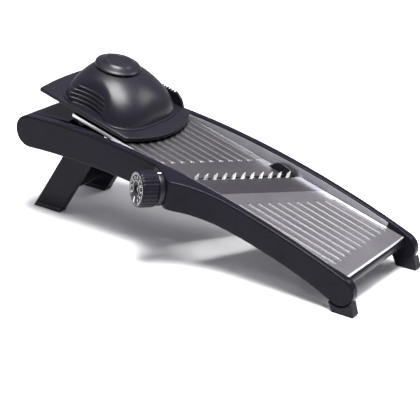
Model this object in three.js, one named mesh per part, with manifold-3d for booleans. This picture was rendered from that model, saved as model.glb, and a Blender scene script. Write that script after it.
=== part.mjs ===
// Mandoline slicer: two arched side rails carry a fixed output plate with a diagonal blade and a
// pivoting input ramp. A dial on the right-hand rail sets the ramp's height, a comb of julienne
// teeth stands in the slot before the blade, a two-legged stand folds forward under the deck, and
// a domed food holder with a plunger slides along the deck.
//
// Millimetres. +X runs downhill along the deck to the front feet, +Y to the left-hand rail, +Z up.
// The origin lies on the floor plane, in the mid plane, under the front edge of the output plate.
import * as THREE from 'three';
import { mergeVertices } from 'three/addons/utils/BufferGeometryUtils.js';
import Module from 'manifold-3d';

const wasm = await Module();
wasm.setup();

// ---------------------------------------------------------------- driving dimensions
const GAP = 0.3;                        // clearance between pieces that touch
const SHEET = 1.2;                      // thickness of the deck's steel plates
const DECK_HALF = 50.5;                 // half width of the deck plates

const OUT_SLOPE = Math.atan(0.29);      // slope of the output plate
const OUT_FRONT = [0, 31.8];            // x and z of its front edge
const IN_SLOPE = Math.atan(0.273);      // slope of the input ramp, as set for a 3 mm cut
const IN_REAR = [-312, 116.3];          // x and z of the ramp's rear edge
const DIAGONAL = 0.553;                 // x gained per unit of y along the blade, in plan

const RAIL_IN = 52.1;                   // inner face of a rail
const RAIL_OUT = 62.5;                  // outer face of a rail
const RAIL_FRONT = { x: -3, z: 20, r: 14 };
const RAIL_REAR = { x: -362, z: 90.5, r: 16.5 };
const RAIL_TOP = [[-362, 107], [-185.3, 112.3], [-9, 37.85], [2.5, 32.9]];
const RAIL_BOTTOM = [[-10.3, 8.05], [-49.6, 32.1], [-202.4, 78.8], [-362, 74]];

const LINER = { inner: 51, outer: 51.8, drop: 4.5, rim: 1.2, rear: -264, seam: -85, front: -19 };

const DIAL_POINT = [-190.8, -70.4, 74.6];   // where the dial's axis leaves the rail's facet
const DIAL_TURN = THREE.MathUtils.degToRad(30);  // how far the axis is swung towards the rear
const DIAL = { knob: 17.4, collar: 16.3, length: 22.4 };
const CAM = { rest: 5.5, rise: 0.987, up: 140, down: 125, z: -14.3, thick: 3 };

const HINGE = [-306, 108.3];            // ramp hinge pin, x and z
const HINGE_PIN = 1.9;
const STAND_PIVOT = [-303, 88];         // stand pivot, x and z
const STAND_LEAN = Math.atan2(60.6, 88);
const LEG = { half: 14.4, inner: 31.5, outer: 40, pad: 5 };

const RIBS = 11;
const RIB_PITCH = 8.786;
const RIB_OFFSET = 0.67;
const TEETH = 11;
const TEETH_PITCH = 8.4;
const TEETH_OFFSET = 0.6;

const HOLDER_X = 5.5;                   // holder axis, measured down the ramp from its rear edge
const SHELL = { height: 44, top: 42, rear: -37, front: 60, half: 48.5, half_in: 38 };
const FLANGE = { half: 50.2, rear: -50, front: 61, rearBow: 5, frontBow: 18, low: 3, high: 7.2 };
const RUNNER = { inner: 47.9, rear: -48, front: 58, low: 1.8 };
const PRONG_DISC = { r: 26, low: 9.5, high: 12 };

// ---------------------------------------------------------------- materials
function material(color, roughness, metalness) {
  return new THREE.MeshStandardMaterial({ color, roughness, metalness });
}
const glossBlack = () => material(0x0b0b0e, 0.22, 0);
const satinBlack = () => material(0x141417, 0.42, 0);
const rubberBlack = () => material(0x17171a, 0.85, 0);
const brushedSteel = () => material(0xb9babd, 0.34, 1);
const brightSteel = () => material(0xd3d5d8, 0.12, 1);
const printedWhite = () => material(0xd9d9d9, 0.5, 0);

// ---------------------------------------------------------------- solid helpers
function solid(geometry) {
  const bare = geometry.clone();
  bare.deleteAttribute('normal');
  bare.deleteAttribute('uv');
  const welded = mergeVertices(bare, 1e-4);
  return new wasm.Manifold(new wasm.Mesh({
    numProp: 3,
    vertProperties: new Float32Array(welded.attributes.position.array),
    triVerts: new Uint32Array(welded.index.array),
  }));
}

function surface(body) {
  const mesh = body.getMesh();
  const geometry = new THREE.BufferGeometry();
  geometry.setAttribute('position', new THREE.BufferAttribute(new Float32Array(mesh.vertProperties), 3));
  geometry.setIndex(new THREE.BufferAttribute(new Uint32Array(mesh.triVerts), 1));
  geometry.computeVertexNormals();
  return geometry;
}

const join = (...geometries) => surface(geometries.map(solid).reduce((a, b) => a.add(b)));
const common = (a, b) => surface(solid(a).intersect(solid(b)));
function cut(base, ...tools) {
  return surface(tools.reduce((body, tool) => body.subtract(solid(tool)), solid(base)));
}

function outline(points) {
  return new THREE.Shape(points.map(([a, b]) => new THREE.Vector2(a, b)));
}

// Plan outline in x and y, raised from z0 to z1.
function slab(shape, z0, z1, curveSegments = 12) {
  const geometry = new THREE.ExtrudeGeometry(shape, { depth: z1 - z0, bevelEnabled: false, curveSegments });
  return geometry.translate(0, 0, z0);
}

// Side outline in x and z, carried across from y0 to y1.
function across(shape, y0, y1, curveSegments = 12) {
  const geometry = new THREE.ExtrudeGeometry(shape, { depth: y1 - y0, bevelEnabled: false, curveSegments });
  return geometry.rotateX(Math.PI / 2).translate(0, y1, 0);
}

function box(x0, x1, y0, y1, z0, z1) {
  const geometry = new THREE.BoxGeometry(x1 - x0, y1 - y0, z1 - z0);
  return geometry.translate((x0 + x1) / 2, (y0 + y1) / 2, (z0 + z1) / 2);
}

// Round bar along y.
function rodY(r, x, z, y0, y1, sides = 24) {
  return new THREE.CylinderGeometry(r, r, y1 - y0, sides).translate(x, (y0 + y1) / 2, z);
}

// Round bar along z.
function rodZ(r, z0, z1, sides = 32, x = 0, y = 0) {
  const bar = new THREE.CylinderGeometry(r, r, z1 - z0, sides).rotateX(Math.PI / 2);
  return bar.translate(x, y, (z0 + z1) / 2);
}

// Profile of radius and height, turned about z.
function turned(profile, sides = 40) {
  const points = profile.map(([r, z]) => new THREE.Vector2(r, z));
  return new THREE.LatheGeometry(points, sides).rotateX(Math.PI / 2);
}

// Slides every point along x in proportion to its y, so a straight bar follows the blade's diagonal.
function shear(geometry, slope) {
  const matrix = new THREE.Matrix4().makeShear(0, 0, slope, 0, 0, 0);
  return geometry.applyMatrix4(matrix);
}

function mesh(name, geometry, finish, parent) {
  const piece = new THREE.Mesh(geometry, finish);
  piece.name = name;
  parent.add(piece);
  return piece;
}

// ---------------------------------------------------------------- frames
const slicer = new THREE.Group();
const base = new THREE.Group();

// Input ramp: origin at the rear edge, x down the slope, z square to the deck.
const inFrame = new THREE.Group();
inFrame.position.set(IN_REAR[0], 0, IN_REAR[1]);
inFrame.rotation.y = IN_SLOPE;

// Output plate: origin at the front edge, x down the slope, so the plate has negative x.
const outFrame = new THREE.Group();
outFrame.position.set(OUT_FRONT[0], 0, OUT_FRONT[1]);
outFrame.rotation.y = OUT_SLOPE;

// Dial: origin on the facet, z out along the axis, y square to the ramp.
const dialFrame = new THREE.Group();
const deckNormal = new THREE.Vector3(Math.sin(IN_SLOPE), 0, Math.cos(IN_SLOPE));
const uphill = new THREE.Vector3(-Math.cos(IN_SLOPE), 0, Math.sin(IN_SLOPE));
const dialAxis = uphill.clone().multiplyScalar(Math.sin(DIAL_TURN));
dialAxis.addScaledVector(new THREE.Vector3(0, -1, 0), Math.cos(DIAL_TURN));
const dialSide = new THREE.Vector3().crossVectors(deckNormal, dialAxis);
dialFrame.quaternion.setFromRotationMatrix(new THREE.Matrix4().makeBasis(dialSide, deckNormal, dialAxis));
dialFrame.position.set(...DIAL_POINT);

// Food holder: origin on the ramp, z up through the plunger.
const holderFrame = new THREE.Group();
holderFrame.position.set(HOLDER_X, 0, 0);
inFrame.add(holderFrame);
slicer.add(base, inFrame, outFrame, dialFrame);

const IN_DIAGONAL = DIAGONAL / Math.cos(IN_SLOPE);
const OUT_DIAGONAL = DIAGONAL / Math.cos(OUT_SLOPE);
const inX = (x) => (x - IN_REAR[0]) / Math.cos(IN_SLOPE);
const outX = (x) => x / Math.cos(OUT_SLOPE);
const inHeight = (x) => IN_REAR[1] - (x - IN_REAR[0]) * Math.tan(IN_SLOPE);
const outHeight = (x) => OUT_FRONT[1] - x * Math.tan(OUT_SLOPE);

function toInFrame([x, z]) {
  const dx = x - IN_REAR[0];
  const dz = z - IN_REAR[1];
  return [
    dx * Math.cos(IN_SLOPE) - dz * Math.sin(IN_SLOPE),
    dx * Math.sin(IN_SLOPE) + dz * Math.cos(IN_SLOPE),
  ];
}

// ---------------------------------------------------------------- side rails
function railSide() {
  const shape = new THREE.Shape();
  const front = RAIL_FRONT;
  const rear = RAIL_REAR;
  shape.moveTo(...RAIL_TOP[0]);
  shape.bezierCurveTo(...RAIL_TOP[1], ...RAIL_TOP[2], ...RAIL_TOP[3]);
  shape.absarc(front.x, front.z, front.r, 1.167, -2.119, true);
  shape.bezierCurveTo(...RAIL_BOTTOM[1], ...RAIL_BOTTOM[2], ...RAIL_BOTTOM[3]);
  shape.absarc(rear.x, rear.z, rear.r, -Math.PI / 2, -3 * Math.PI / 2, true);
  return shape;
}

// Plan of a rail: straight, a little thinner towards the front.
function railPlan(side) {
  const points = [[-380, RAIL_IN], [12, RAIL_IN], [12, 60.8], [-150, RAIL_OUT], [-380, RAIL_OUT]];
  return outline(points.map(([x, y]) => [x, side * y]));
}

// Plan of the right-hand rail's swelling. Its rear side is cut off square to the dial's axis.
function housingPlan() {
  const shape = new THREE.Shape();
  shape.moveTo(-215, -58);
  shape.lineTo(-215, -72);
  shape.lineTo(-182, -80);
  shape.quadraticCurveTo(-174.5, -80, -170, -76.4);
  shape.bezierCurveTo(-158, -68.5, -140, -63, -110, -62);
  shape.lineTo(-110, -58);
  return shape;
}

const CAM_POCKET = [-193, -175, -64.2, -50, 63.8, 85];   // x, y and z limits

// Puts a tool drawn in the dial's frame where the dial is.
function atDial(geometry) {
  dialFrame.updateMatrix();
  return geometry.applyMatrix4(dialFrame.matrix);
}

function pivotSocket(side) {
  const [x, z] = STAND_PIVOT;
  return side > 0 ? rodY(3.3, x, z, 50, 57.6) : rodY(3.3, x, z, -57.6, -50);
}

function buildRails() {
  const side = railSide();
  const left = common(across(side, 50, 64, 28), slab(railPlan(1), -5, 120));
  mesh('left_rail', cut(left, pivotSocket(1), ...screwSockets(1)), glossBlack(), base);
  const right = common(across(side, -64, -50, 28), slab(railPlan(-1), -5, 120));
  const swelling = common(across(side, -84, -50, 28), slab(housingPlan(), -5, 120));
  const housing = cut(swelling, atDial(box(-60, 60, -60, 60, 0, 40)));
  const bores = [pivotSocket(-1), ...screwSockets(-1), atDial(rodZ(4.9, -16, 4, 32)), box(...CAM_POCKET)];
  mesh('right_rail', cut(join(right, housing), ...bores), glossBlack(), base);
}

// Height of the rails' top edge at x.
function railTop(x) {
  const curve = new THREE.CubicBezierCurve(...RAIL_TOP.map(([a, b]) => new THREE.Vector2(a, b)));
  let low = 0;
  let high = 1;
  for (let i = 0; i < 40; i += 1) {
    const middle = (low + high) / 2;
    if (curve.getPoint(middle).x < x) low = middle;
    else high = middle;
  }
  return curve.getPoint(low).y;
}

// Steel wall strip between the deck's edge and the rim of a rail.
function linerSide(x0, x1, deck) {
  const steps = 10;
  const points = deck.map(([x, z]) => [x, z - LINER.drop]);
  for (let i = steps; i >= 0; i -= 1) {
    const x = x0 + (x1 - x0) * i / steps;
    points.push([x, railTop(x) - LINER.rim]);
  }
  return outline(points);
}

function buildLiners() {
  const { seam } = LINER;
  const step = -158;
  const rear = linerSide(LINER.rear, seam - GAP, [
    [LINER.rear, inHeight(LINER.rear)], [step - 2, inHeight(step - 2)],
    [step, outHeight(step)], [seam - GAP, outHeight(seam - GAP)],
  ]);
  const frontDeck = [[seam, outHeight(seam)], [LINER.front, outHeight(LINER.front)]];
  const front = linerSide(seam, LINER.front, frontDeck);
  const follower = box(-192.2, -175.2, -53, -50, 60, 85);   // room for the ramp's follower lug
  const rightRear = cut(across(rear, -LINER.outer, -LINER.inner), follower);
  mesh('right_liner_rear', rightRear, brightSteel(), base);
  mesh('right_liner_front', across(front, -LINER.outer, -LINER.inner), brightSteel(), base);
  mesh('left_liner_rear', across(rear, LINER.inner, LINER.outer), brightSteel(), base);
  mesh('left_liner_front', across(front, LINER.inner, LINER.outer), brightSteel(), base);
}

// ---------------------------------------------------------------- rear handle and front crossbar
const HANDLE_HALF = RAIL_IN - GAP;
const HANDLE_SCREWS = [[-366, 97], [-344, 86]];

// Side outline of the handle. With an inset it is the finger hollow, which is open at the bottom.
function handleSide(inset) {
  const r = RAIL_REAR.r - inset;
  const front = -317 - inset;
  const bottom = RAIL_REAR.z - RAIL_REAR.r - (inset ? 8 : 0);
  const shape = new THREE.Shape();
  shape.moveTo(front, 107.9 - inset);
  shape.lineTo(front, 94);
  shape.lineTo(front - 13.8, bottom);
  shape.lineTo(RAIL_REAR.x, bottom);
  if (inset) shape.lineTo(RAIL_REAR.x - r, bottom);
  else shape.absarc(RAIL_REAR.x, RAIL_REAR.z, r, -Math.PI / 2, -Math.PI, true);
  shape.absarc(RAIL_REAR.x, RAIL_REAR.z, r, -Math.PI, -3 * Math.PI / 2, true);
  return shape;
}

// Two ears reach forward from the handle and hold the ramp's hinge pin.
function hingeEar(y) {
  const [x, z] = HINGE;
  const arm = across(outline([[-324, 100.6], [x + 1, z - 3.4], [x + 1, z - 1], [-324, 107]]), y - 3, y + 3);
  return join(arm, rodY(3.4, x, z, y - 3, y + 3, 20));
}

// Pan-head screw along y, its head at y and its tip further out towards side.
function sideScrew(x, z, y, side) {
  const head = rodY(3.4, x, z, Math.min(y, y - side * 2), Math.max(y, y - side * 2), 16);
  const tip = y + side * 8;
  return join(head, rodY(1.6, x, z, Math.min(y - side, tip), Math.max(y - side, tip), 12));
}

function buildRearHandle() {
  const inner = 3;
  const hollow = across(handleSide(inner), -HANDLE_HALF + inner, HANDLE_HALF - inner, 16);
  const shell = cut(across(handleSide(0), -HANDLE_HALF, HANDLE_HALF, 16), hollow);
  const eared = join(shell, hingeEar(-20.5), hingeEar(20.5));
  const holes = [rodY(HINGE_PIN + 0.2, ...HINGE, -30, 30, 20)];
  HANDLE_SCREWS.forEach(([x, z]) => holes.push(rodY(1.9, x, z, -60, -45, 12), rodY(1.9, x, z, 45, 60, 12)));
  mesh('rear_handle', cut(eared, ...holes), satinBlack(), base);
  [-1, 1].forEach((side) => {
    HANDLE_SCREWS.forEach(([x, z], i) => {
      const name = `handle_screw_${side > 0 ? 'left' : 'right'}_${i + 1}`;
      const seat = side * (HANDLE_HALF - inner - GAP);
      mesh(name, sideScrew(x, z, seat, side), brightSteel(), base);
    });
  });
}

function screwSockets(side) {
  const [y0, y1] = side > 0 ? [50, 58] : [-58, -50];
  return HANDLE_SCREWS.map(([x, z]) => rodY(1.9, x, z, y0, y1, 12));
}

function buildFrontCrossbar() {
  const bar = new THREE.Shape();
  bar.moveTo(-15, -3);
  bar.lineTo(-2, -3);
  bar.quadraticCurveTo(0.8, -3, 0.8, -6);
  bar.quadraticCurveTo(0.8, -10, -4, -10);
  bar.lineTo(-12, -10);
  bar.quadraticCurveTo(-17, -10, -17, -6);
  bar.quadraticCurveTo(-17, -3, -15, -3);
  const pad = box(-15, -6, -49, 49, -4, -SHEET - GAP);
  mesh('front_crossbar', join(across(bar, -HANDLE_HALF, HANDLE_HALF, 5), pad), satinBlack(), outFrame);
}

// ---------------------------------------------------------------- front feet
function footSide() {
  const { x, z, r } = RAIL_FRONT;
  const seam = r + GAP;
  const shape = new THREE.Shape();
  shape.moveTo(-8, 0);
  shape.lineTo(11, 0);
  shape.quadraticCurveTo(13.4, 0.2, 13, 2.6);
  shape.absarc(x, z, seam, -0.48, -2.3, true);
  return shape;
}

function buildFrontFeet() {
  const shape = footSide();
  mesh('front_foot_right', across(shape, -62, -53, 10), rubberBlack(), base);
  mesh('front_foot_left', across(shape, 53, 62, 10), rubberBlack(), base);
}

// ---------------------------------------------------------------- output plate, blade and bridge
const BLADE_EDGE = outX(-141);          // cutting edge, where it crosses the mid plane
const SEAM = outX(-115);                // joint between the blade and the output plate

function stadium(x0, x1, y, width) {
  const r = width / 2;
  const shape = new THREE.Shape();
  shape.absarc(x1 - r, y, r, -Math.PI / 2, Math.PI / 2, false);
  shape.absarc(x0 + r, y, r, Math.PI / 2, 3 * Math.PI / 2, false);
  return shape;
}

const ribY = (i) => (i - (RIBS - 1) / 2) * RIB_PITCH + RIB_OFFSET;

function buildOutputPlate() {
  const half = DECK_HALF;
  const skew = OUT_DIAGONAL * half;
  const nose = 1.3;
  const plan = outline([[-nose, -half], [-nose, half], [SEAM + skew, half], [SEAM - skew, -half]]);
  const plate = slab(plan, -SHEET, 0);
  const roll = rodY(nose, -nose, -nose, -half, half, 16);
  const skirts = [-1, 1].map((side) => {
    const y0 = side > 0 ? half - 1 : -half;
    return box(-60, -18, y0, y0 + 1, -5, -0.5);
  });
  const ribs = [];
  for (let i = 0; i < RIBS; i += 1) {
    const y = ribY(i);
    ribs.push(slab(stadium(outX(-97.7) + OUT_DIAGONAL * y, -17.4, y, 2.2), -0.5, 0.8, 5));
  }
  mesh('output_plate', join(plate, roll, ...skirts, ...ribs), brushedSteel(), outFrame);
}

function buildBlade() {
  const profile = outline([
    [BLADE_EDGE, 0], [BLADE_EDGE, -0.15], [BLADE_EDGE + 4, -SHEET], [SEAM - GAP, -SHEET], [SEAM - GAP, 0],
  ]);
  mesh('blade', shear(across(profile, -DECK_HALF, DECK_HALF), OUT_DIAGONAL), brushedSteel(), outFrame);
}

const BRIDGE = { x0: -134, x1: -104, low: -8, high: -SHEET - GAP };
const BLADE_SCREWS = [-34, 0, 34];

function buildBladeBridge() {
  const { x0, x1, low, high } = BRIDGE;
  const beam = box(x0, x1, -DECK_HALF, DECK_HALF, low, high);
  const tongue = box(x0 + 6, x1 - 6, -HANDLE_HALF, HANDLE_HALF, low, low + 2.6);
  const holes = BLADE_SCREWS.map((y) => rodZ(2.6, low - 1, high + 1, 12, x0 + 7, y));
  const bridge = cut(join(beam, tongue), ...holes);
  mesh('blade_bridge', shear(bridge, OUT_DIAGONAL), satinBlack(), outFrame);
  BLADE_SCREWS.forEach((y, i) => {
    const screw = join(rodZ(3.2, low - GAP - 2, low - GAP, 16), rodZ(1.5, low - 1, high - GAP, 12));
    const piece = mesh(`blade_screw_${i + 1}`, screw, brightSteel(), outFrame);
    piece.position.set(x0 + 7 + OUT_DIAGONAL * y, y, 0);
  });
}

// ---------------------------------------------------------------- julienne comb
function toothSide() {
  const x = BLADE_EDGE;
  return outline([
    [x - 14, -10.9], [x - 8, -10.9], [x - 3.8, -4], [x - 3.8, 1], [x - 4.3, 4.6], [x - 8.7, 0.2],
    [x - 8.7, -9.2], [x - 14, -10.1],
  ]);
}

function buildJulienneComb() {
  const strip = shear(box(BLADE_EDGE - 21, BLADE_EDGE - 10.2, -44.3, 43.2, -11, -10), OUT_DIAGONAL);
  const teeth = [];
  for (let i = 0; i < TEETH; i += 1) {
    const y = (i - (TEETH - 1) / 2) * TEETH_PITCH + TEETH_OFFSET;
    const tooth = across(toothSide(), y - 0.45, y + 0.45);
    teeth.push(tooth.translate(OUT_DIAGONAL * y, 0, 0));
  }
  mesh('julienne_comb', join(strip, ...teeth), brightSteel(), outFrame);
}

// The comb sits on a bar whose far end rises beside the blade as a half-round grip tab.
const TAB = { x: -135.5, r: 12.5, y0: 43.6, y1: 46.4, top: 6 };

function buildCombCarrier() {
  const bar = shear(box(BLADE_EDGE - 24, BLADE_EDGE - 10.2, -44.3, 45.6, -17, -11.3), OUT_DIAGONAL);
  const tab = new THREE.Shape();
  tab.moveTo(TAB.x + TAB.r, -14);
  tab.absellipse(TAB.x, -2, TAB.r, TAB.top + 2, 0, Math.PI, false, 0);
  tab.lineTo(TAB.x - TAB.r, -14);
  mesh('comb_carrier', join(bar, across(tab, TAB.y0, TAB.y1, 12)), satinBlack(), outFrame);
}

// ---------------------------------------------------------------- input ramp and its carrier
const RAMP_FRONT = inX(-151);           // front edge of the ramp where it crosses the mid plane

function buildInputRamp() {
  const half = DECK_HALF;
  const skew = IN_DIAGONAL * half;
  const notchY = 43;
  const notchX = 172.5;
  const plan = outline([
    [0, -half], [RAMP_FRONT - skew, -half], [RAMP_FRONT + IN_DIAGONAL * notchY, notchY],
    [notchX, notchY], [notchX, half], [0, half],
  ]);
  const skirtEnd = 106;
  const skirtDepth = 3.2;
  const skirt = outline([[0, -0.5], [0, -skirtDepth], [skirtEnd - 6, -skirtDepth], [skirtEnd, -0.5]]);
  const rear = box(0, 1, -half, half, -skirtDepth, -0.5);
  const ribs = [];
  for (let i = 0; i < RIBS; i += 1) {
    const y = ribY(i);
    ribs.push(slab(stadium(9, inX(-180.8) + IN_DIAGONAL * y, y, 6.2), -0.5, 0.7, 6));
  }
  const sides = [across(skirt, -half, 1 - half), across(skirt, half - 1, half)];
  mesh('input_ramp', join(slab(plan, -SHEET, 0), rear, ...sides, ...ribs), brushedSteel(), inFrame);
}

function buildRampCarrier() {
  const top = -SHEET - GAP;
  const low = -5.2;
  const [hx, hz] = toInFrame(HINGE);
  const camX = toInFrame([DIAL_POINT[0] + dialAxis.x * CAM.z, DIAL_POINT[2] + dialAxis.z * CAM.z])[0];
  const lugLow = -2.5;
  const pieces = [
    box(1.6, 18, -49, 49, low, top),
    box(4, 160, 45, 49, low, top),
    box(4, 124, -49, -45, low, top),
    box(4, camX + 6, -49, -45, lugLow, top),
    box(camX - 6, camX + 6, -61, -46, lugLow, top),
    box(56, 62, -49, 49, low, top),
    box(100, 106, -49, 49, low, top),
    rodY(3.3, hx, hz, -15.5, 15.5, 20),
    rodY(3.3, hx, hz, 25.5, 31, 20),
    rodY(3.3, hx, hz, -31, -25.5, 20),
  ];
  const cuts = [
    rodY(HINGE_PIN + 0.2, hx, hz, -40, 40, 20),
    box(0, 13, 16.8, 24.2, -12, 0),
    box(0, 13, -24.2, -16.8, -12, 0),
  ];
  mesh('ramp_carrier', cut(join(...pieces), ...cuts), satinBlack(), inFrame);
  mesh('ramp_hinge_pin', rodY(HINGE_PIN, ...HINGE, -32, 32, 20), brightSteel(), base);
}

// ---------------------------------------------------------------- thickness dial
function flutedDisc(z0, z1) {
  const flutes = 26;
  const shape = new THREE.Shape();
  const steps = flutes * 4;
  for (let i = 0; i < steps; i += 1) {
    const angle = 2 * Math.PI * i / steps;
    const r = DIAL.knob - 0.35 + 0.35 * Math.cos(flutes * angle);
    const point = [r * Math.cos(angle), r * Math.sin(angle)];
    if (i) shape.lineTo(...point);
    else shape.moveTo(...point);
  }
  return slab(shape, z0, z1);
}

// Snail cam: its radius grows evenly with the angle, so the ramp rises evenly as the dial turns.
function camOutline() {
  const shape = new THREE.Shape();
  const step = THREE.MathUtils.degToRad(5);
  const first = Math.PI / 2 - THREE.MathUtils.degToRad(CAM.down + 2);
  const last = Math.PI / 2 + THREE.MathUtils.degToRad(CAM.up + 2);
  let started = false;
  for (let angle = first; angle <= last; angle += step) {
    const r = CAM.rest + CAM.rise * (angle - Math.PI / 2);
    const point = [r * Math.cos(angle), r * Math.sin(angle)];
    if (started) shape.lineTo(...point);
    else shape.moveTo(...point);
    started = true;
  }
  return shape;
}

function buildDial() {
  const face = DIAL.length;
  const shaftHole = rodZ(3.2, 0, 17.3, 20);
  const recess = rodZ(15.6, face - 1, face + 1, 48);
  const screwHole = rodZ(1.8, 10, face, 12);
  const headHole = rodZ(3.8, face - 3.6, face, 20);
  const knob = cut(flutedDisc(5.8, face), shaftHole, recess, screwHole, headHole);
  mesh('dial_knob', knob, glossBlack(), dialFrame);
  mesh('dial_face', rodZ(15.3, face - 0.7, face - 0.1, 48), printedWhite(), dialFrame);
  const shaft = turned([
    [0, -17.6], [1.9, -17.6], [1.9, -11.6], [2.9, -11.6], [2.9, 17], [1.8, 17], [1.8, 11], [0, 11],
  ], 24);
  mesh('dial_shaft', shaft, brightSteel(), dialFrame);
  const bore = rodZ(2.1, CAM.z - 4, CAM.z + 4, 24);
  const camDisc = slab(camOutline(), CAM.z - CAM.thick / 2, CAM.z + CAM.thick / 2);
  mesh('dial_cam', cut(camDisc, bore), satinBlack(), dialFrame);
  const clip = turned([[2.15, -17.2], [3.0, -17.2], [3.0, -16.4], [2.15, -16.4], [2.15, -17.2]], 24);
  mesh('cam_retaining_ring', clip, brightSteel(), dialFrame);
  const bush = turned([
    [3.2, -6.5], [4.6, -6.5], [4.6, 0.3], [6.6, 0.3], [6.6, 1.5], [3.2, 1.5], [3.2, -6.5],
  ], 32);
  mesh('dial_bush', bush, satinBlack(), dialFrame);
  const collar = turned([[7, 0.3], [DIAL.collar, 0.3], [DIAL.collar, 5.4], [7, 5.4], [7, 0.3]], 48);
  mesh('dial_collar', collar, glossBlack(), dialFrame);
  const screw = turned([[0, 11.4], [1.5, 11.4], [1.5, 18.9], [3.4, 18.9], [3.4, 20.6], [0, 20.9]], 16);
  mesh('dial_screw', screw, brightSteel(), dialFrame);
}

// ---------------------------------------------------------------- rear stand
// The leg leans back from its pivot and is cut off level just above the floor.
function legSide(low, high) {
  const [x, z] = STAND_PIVOT;
  const along = [-Math.sin(STAND_LEAN), -Math.cos(STAND_LEAN)];
  const acrossLeg = [Math.cos(STAND_LEAN), -Math.sin(STAND_LEAN)];
  const edge = (side, level) => {
    const start = [x + side * LEG.half * acrossLeg[0], z + side * LEG.half * acrossLeg[1]];
    const reach = (start[1] - level) / -along[1];
    return [start[0] + along[0] * reach, level];
  };
  const shape = new THREE.Shape();
  shape.moveTo(...edge(-1, low));
  shape.lineTo(...edge(1, low));
  if (high === undefined) {
    shape.absarc(x, z, LEG.half, -STAND_LEAN, Math.PI - STAND_LEAN, false);
  } else {
    shape.lineTo(...edge(1, high));
    shape.lineTo(...edge(-1, high));
  }
  return shape;
}

function buildStand() {
  const [x, z] = STAND_PIVOT;
  [-1, 1].forEach((side) => {
    const name = side > 0 ? 'left' : 'right';
    const y0 = side > 0 ? LEG.inner : -LEG.outer;
    const y1 = side > 0 ? LEG.outer : -LEG.inner;
    const leg = across(legSide(LEG.pad + GAP), y0, y1, 16);
    mesh(`stand_leg_${name}`, cut(leg, rodY(3.3, x, z, y0 - 1, y1 + 1, 20)), satinBlack(), base);
    mesh(`stand_pad_${name}`, across(legSide(0, LEG.pad), y0 - 0.5, y1 + 0.5), rubberBlack(), base);
    const s0 = side > 0 ? LEG.outer + GAP : -RAIL_IN + GAP;
    const s1 = side > 0 ? RAIL_IN - GAP : -LEG.outer - GAP;
    const spacer = cut(rodY(6, x, z, s0, s1, 20), rodY(3.3, x, z, s0 - 1, s1 + 1, 20));
    mesh(`stand_spacer_${name}`, spacer, satinBlack(), base);
  });
  mesh('stand_pivot_rod', rodY(3, x, z, -57.2, 57.2, 20), brightSteel(), base);
  const bar = box(-8, 8, GAP - LEG.inner, LEG.inner - GAP, -3, 3);
  const reach = 72;
  const piece = mesh('stand_crossbar', bar, satinBlack(), base);
  piece.position.set(x - Math.sin(STAND_LEAN) * reach, 0, z - Math.cos(STAND_LEAN) * reach);
  piece.rotation.y = Math.PI / 2 - STAND_LEAN;
}

// ---------------------------------------------------------------- food holder
// Rounded rectangle of half sizes a and b about (x, 0). The exponent sets how square it is.
function squircle(x, a, b, power, steps) {
  const points = [];
  for (let i = 0; i < steps; i += 1) {
    const angle = 2 * Math.PI * i / steps;
    const c = Math.cos(angle);
    const s = Math.sin(angle);
    points.push([
      x + a * Math.sign(c) * Math.abs(c) ** (2 / power),
      b * Math.sign(s) * Math.abs(s) ** (2 / power),
    ]);
  }
  return points;
}

// Stack of rings closed at both ends.
function loft(rings) {
  const count = rings[0].points.length;
  const positions = [];
  rings.forEach(({ points, z }) => points.forEach(([x, y]) => positions.push(x, y, z)));
  const centre = (ring) => {
    const sum = ring.points.reduce((a, p) => [a[0] + p[0] / count, a[1] + p[1] / count], [0, 0]);
    positions.push(...sum, ring.z);
  };
  centre(rings[0]);
  centre(rings[rings.length - 1]);
  const index = [];
  for (let r = 0; r + 1 < rings.length; r += 1) {
    for (let i = 0; i < count; i += 1) {
      const a = r * count + i;
      const b = r * count + (i + 1) % count;
      index.push(a, b, b + count, a, b + count, a + count);
    }
  }
  const bottom = rings.length * count;
  const lastRing = (rings.length - 1) * count;
  for (let i = 0; i < count; i += 1) {
    const j = (i + 1) % count;
    index.push(bottom, j, i, bottom + 1, lastRing + i, lastRing + j);
  }
  const geometry = new THREE.BufferGeometry();
  geometry.setAttribute('position', new THREE.Float32BufferAttribute(positions, 3));
  geometry.setIndex(index);
  return geometry;
}

// Dome: rounded square at the base, round under the cap, leaning forward at the front.
function dome(halfLength, halfWidth, z0, z1, steps) {
  const middle = (SHELL.rear + SHELL.front) / 2;
  const levels = 12;
  const rings = [];
  for (let i = 0; i <= levels; i += 1) {
    const z = z0 + (z1 - z0) * (1 - (1 - i / levels) ** 1.6);
    const t = Math.min(Math.max(z, 0) / SHELL.height, 0.98);
    const k = (1 - t ** 2.2) ** (1 / 2.2);
    const shift = middle * Math.max(k - 0.35, 0) / 0.65;
    rings.push({ points: squircle(shift, halfLength * k, halfWidth * k, 2 + 1.2 * k, steps), z });
  }
  return loft(rings);
}

function flangePlan() {
  const { half, rear, front, rearBow, frontBow } = FLANGE;
  const shape = new THREE.Shape();
  shape.moveTo(rear, -half);
  shape.lineTo(front, -half);
  const frontR = (half ** 2 + frontBow ** 2) / (2 * frontBow);
  const frontA = Math.asin(half / frontR);
  shape.absarc(front + frontBow - frontR, 0, frontR, -frontA, frontA, false);
  shape.lineTo(rear, half);
  const rearR = (half ** 2 + rearBow ** 2) / (2 * rearBow);
  const rearA = Math.asin(half / rearR);
  shape.absarc(rear - rearBow + rearR, 0, rearR, Math.PI - rearA, Math.PI + rearA, false);
  return shape;
}

const SCOOP = { x: 6, depth: 41, r: 45, lean: 0.26, low: 7.3 };
const REST = { x: 15, top: 17.2, tooth: 2.2, pitch: 3.4, teeth: 7, y0: 46.9, y1: 49.6 };

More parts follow.
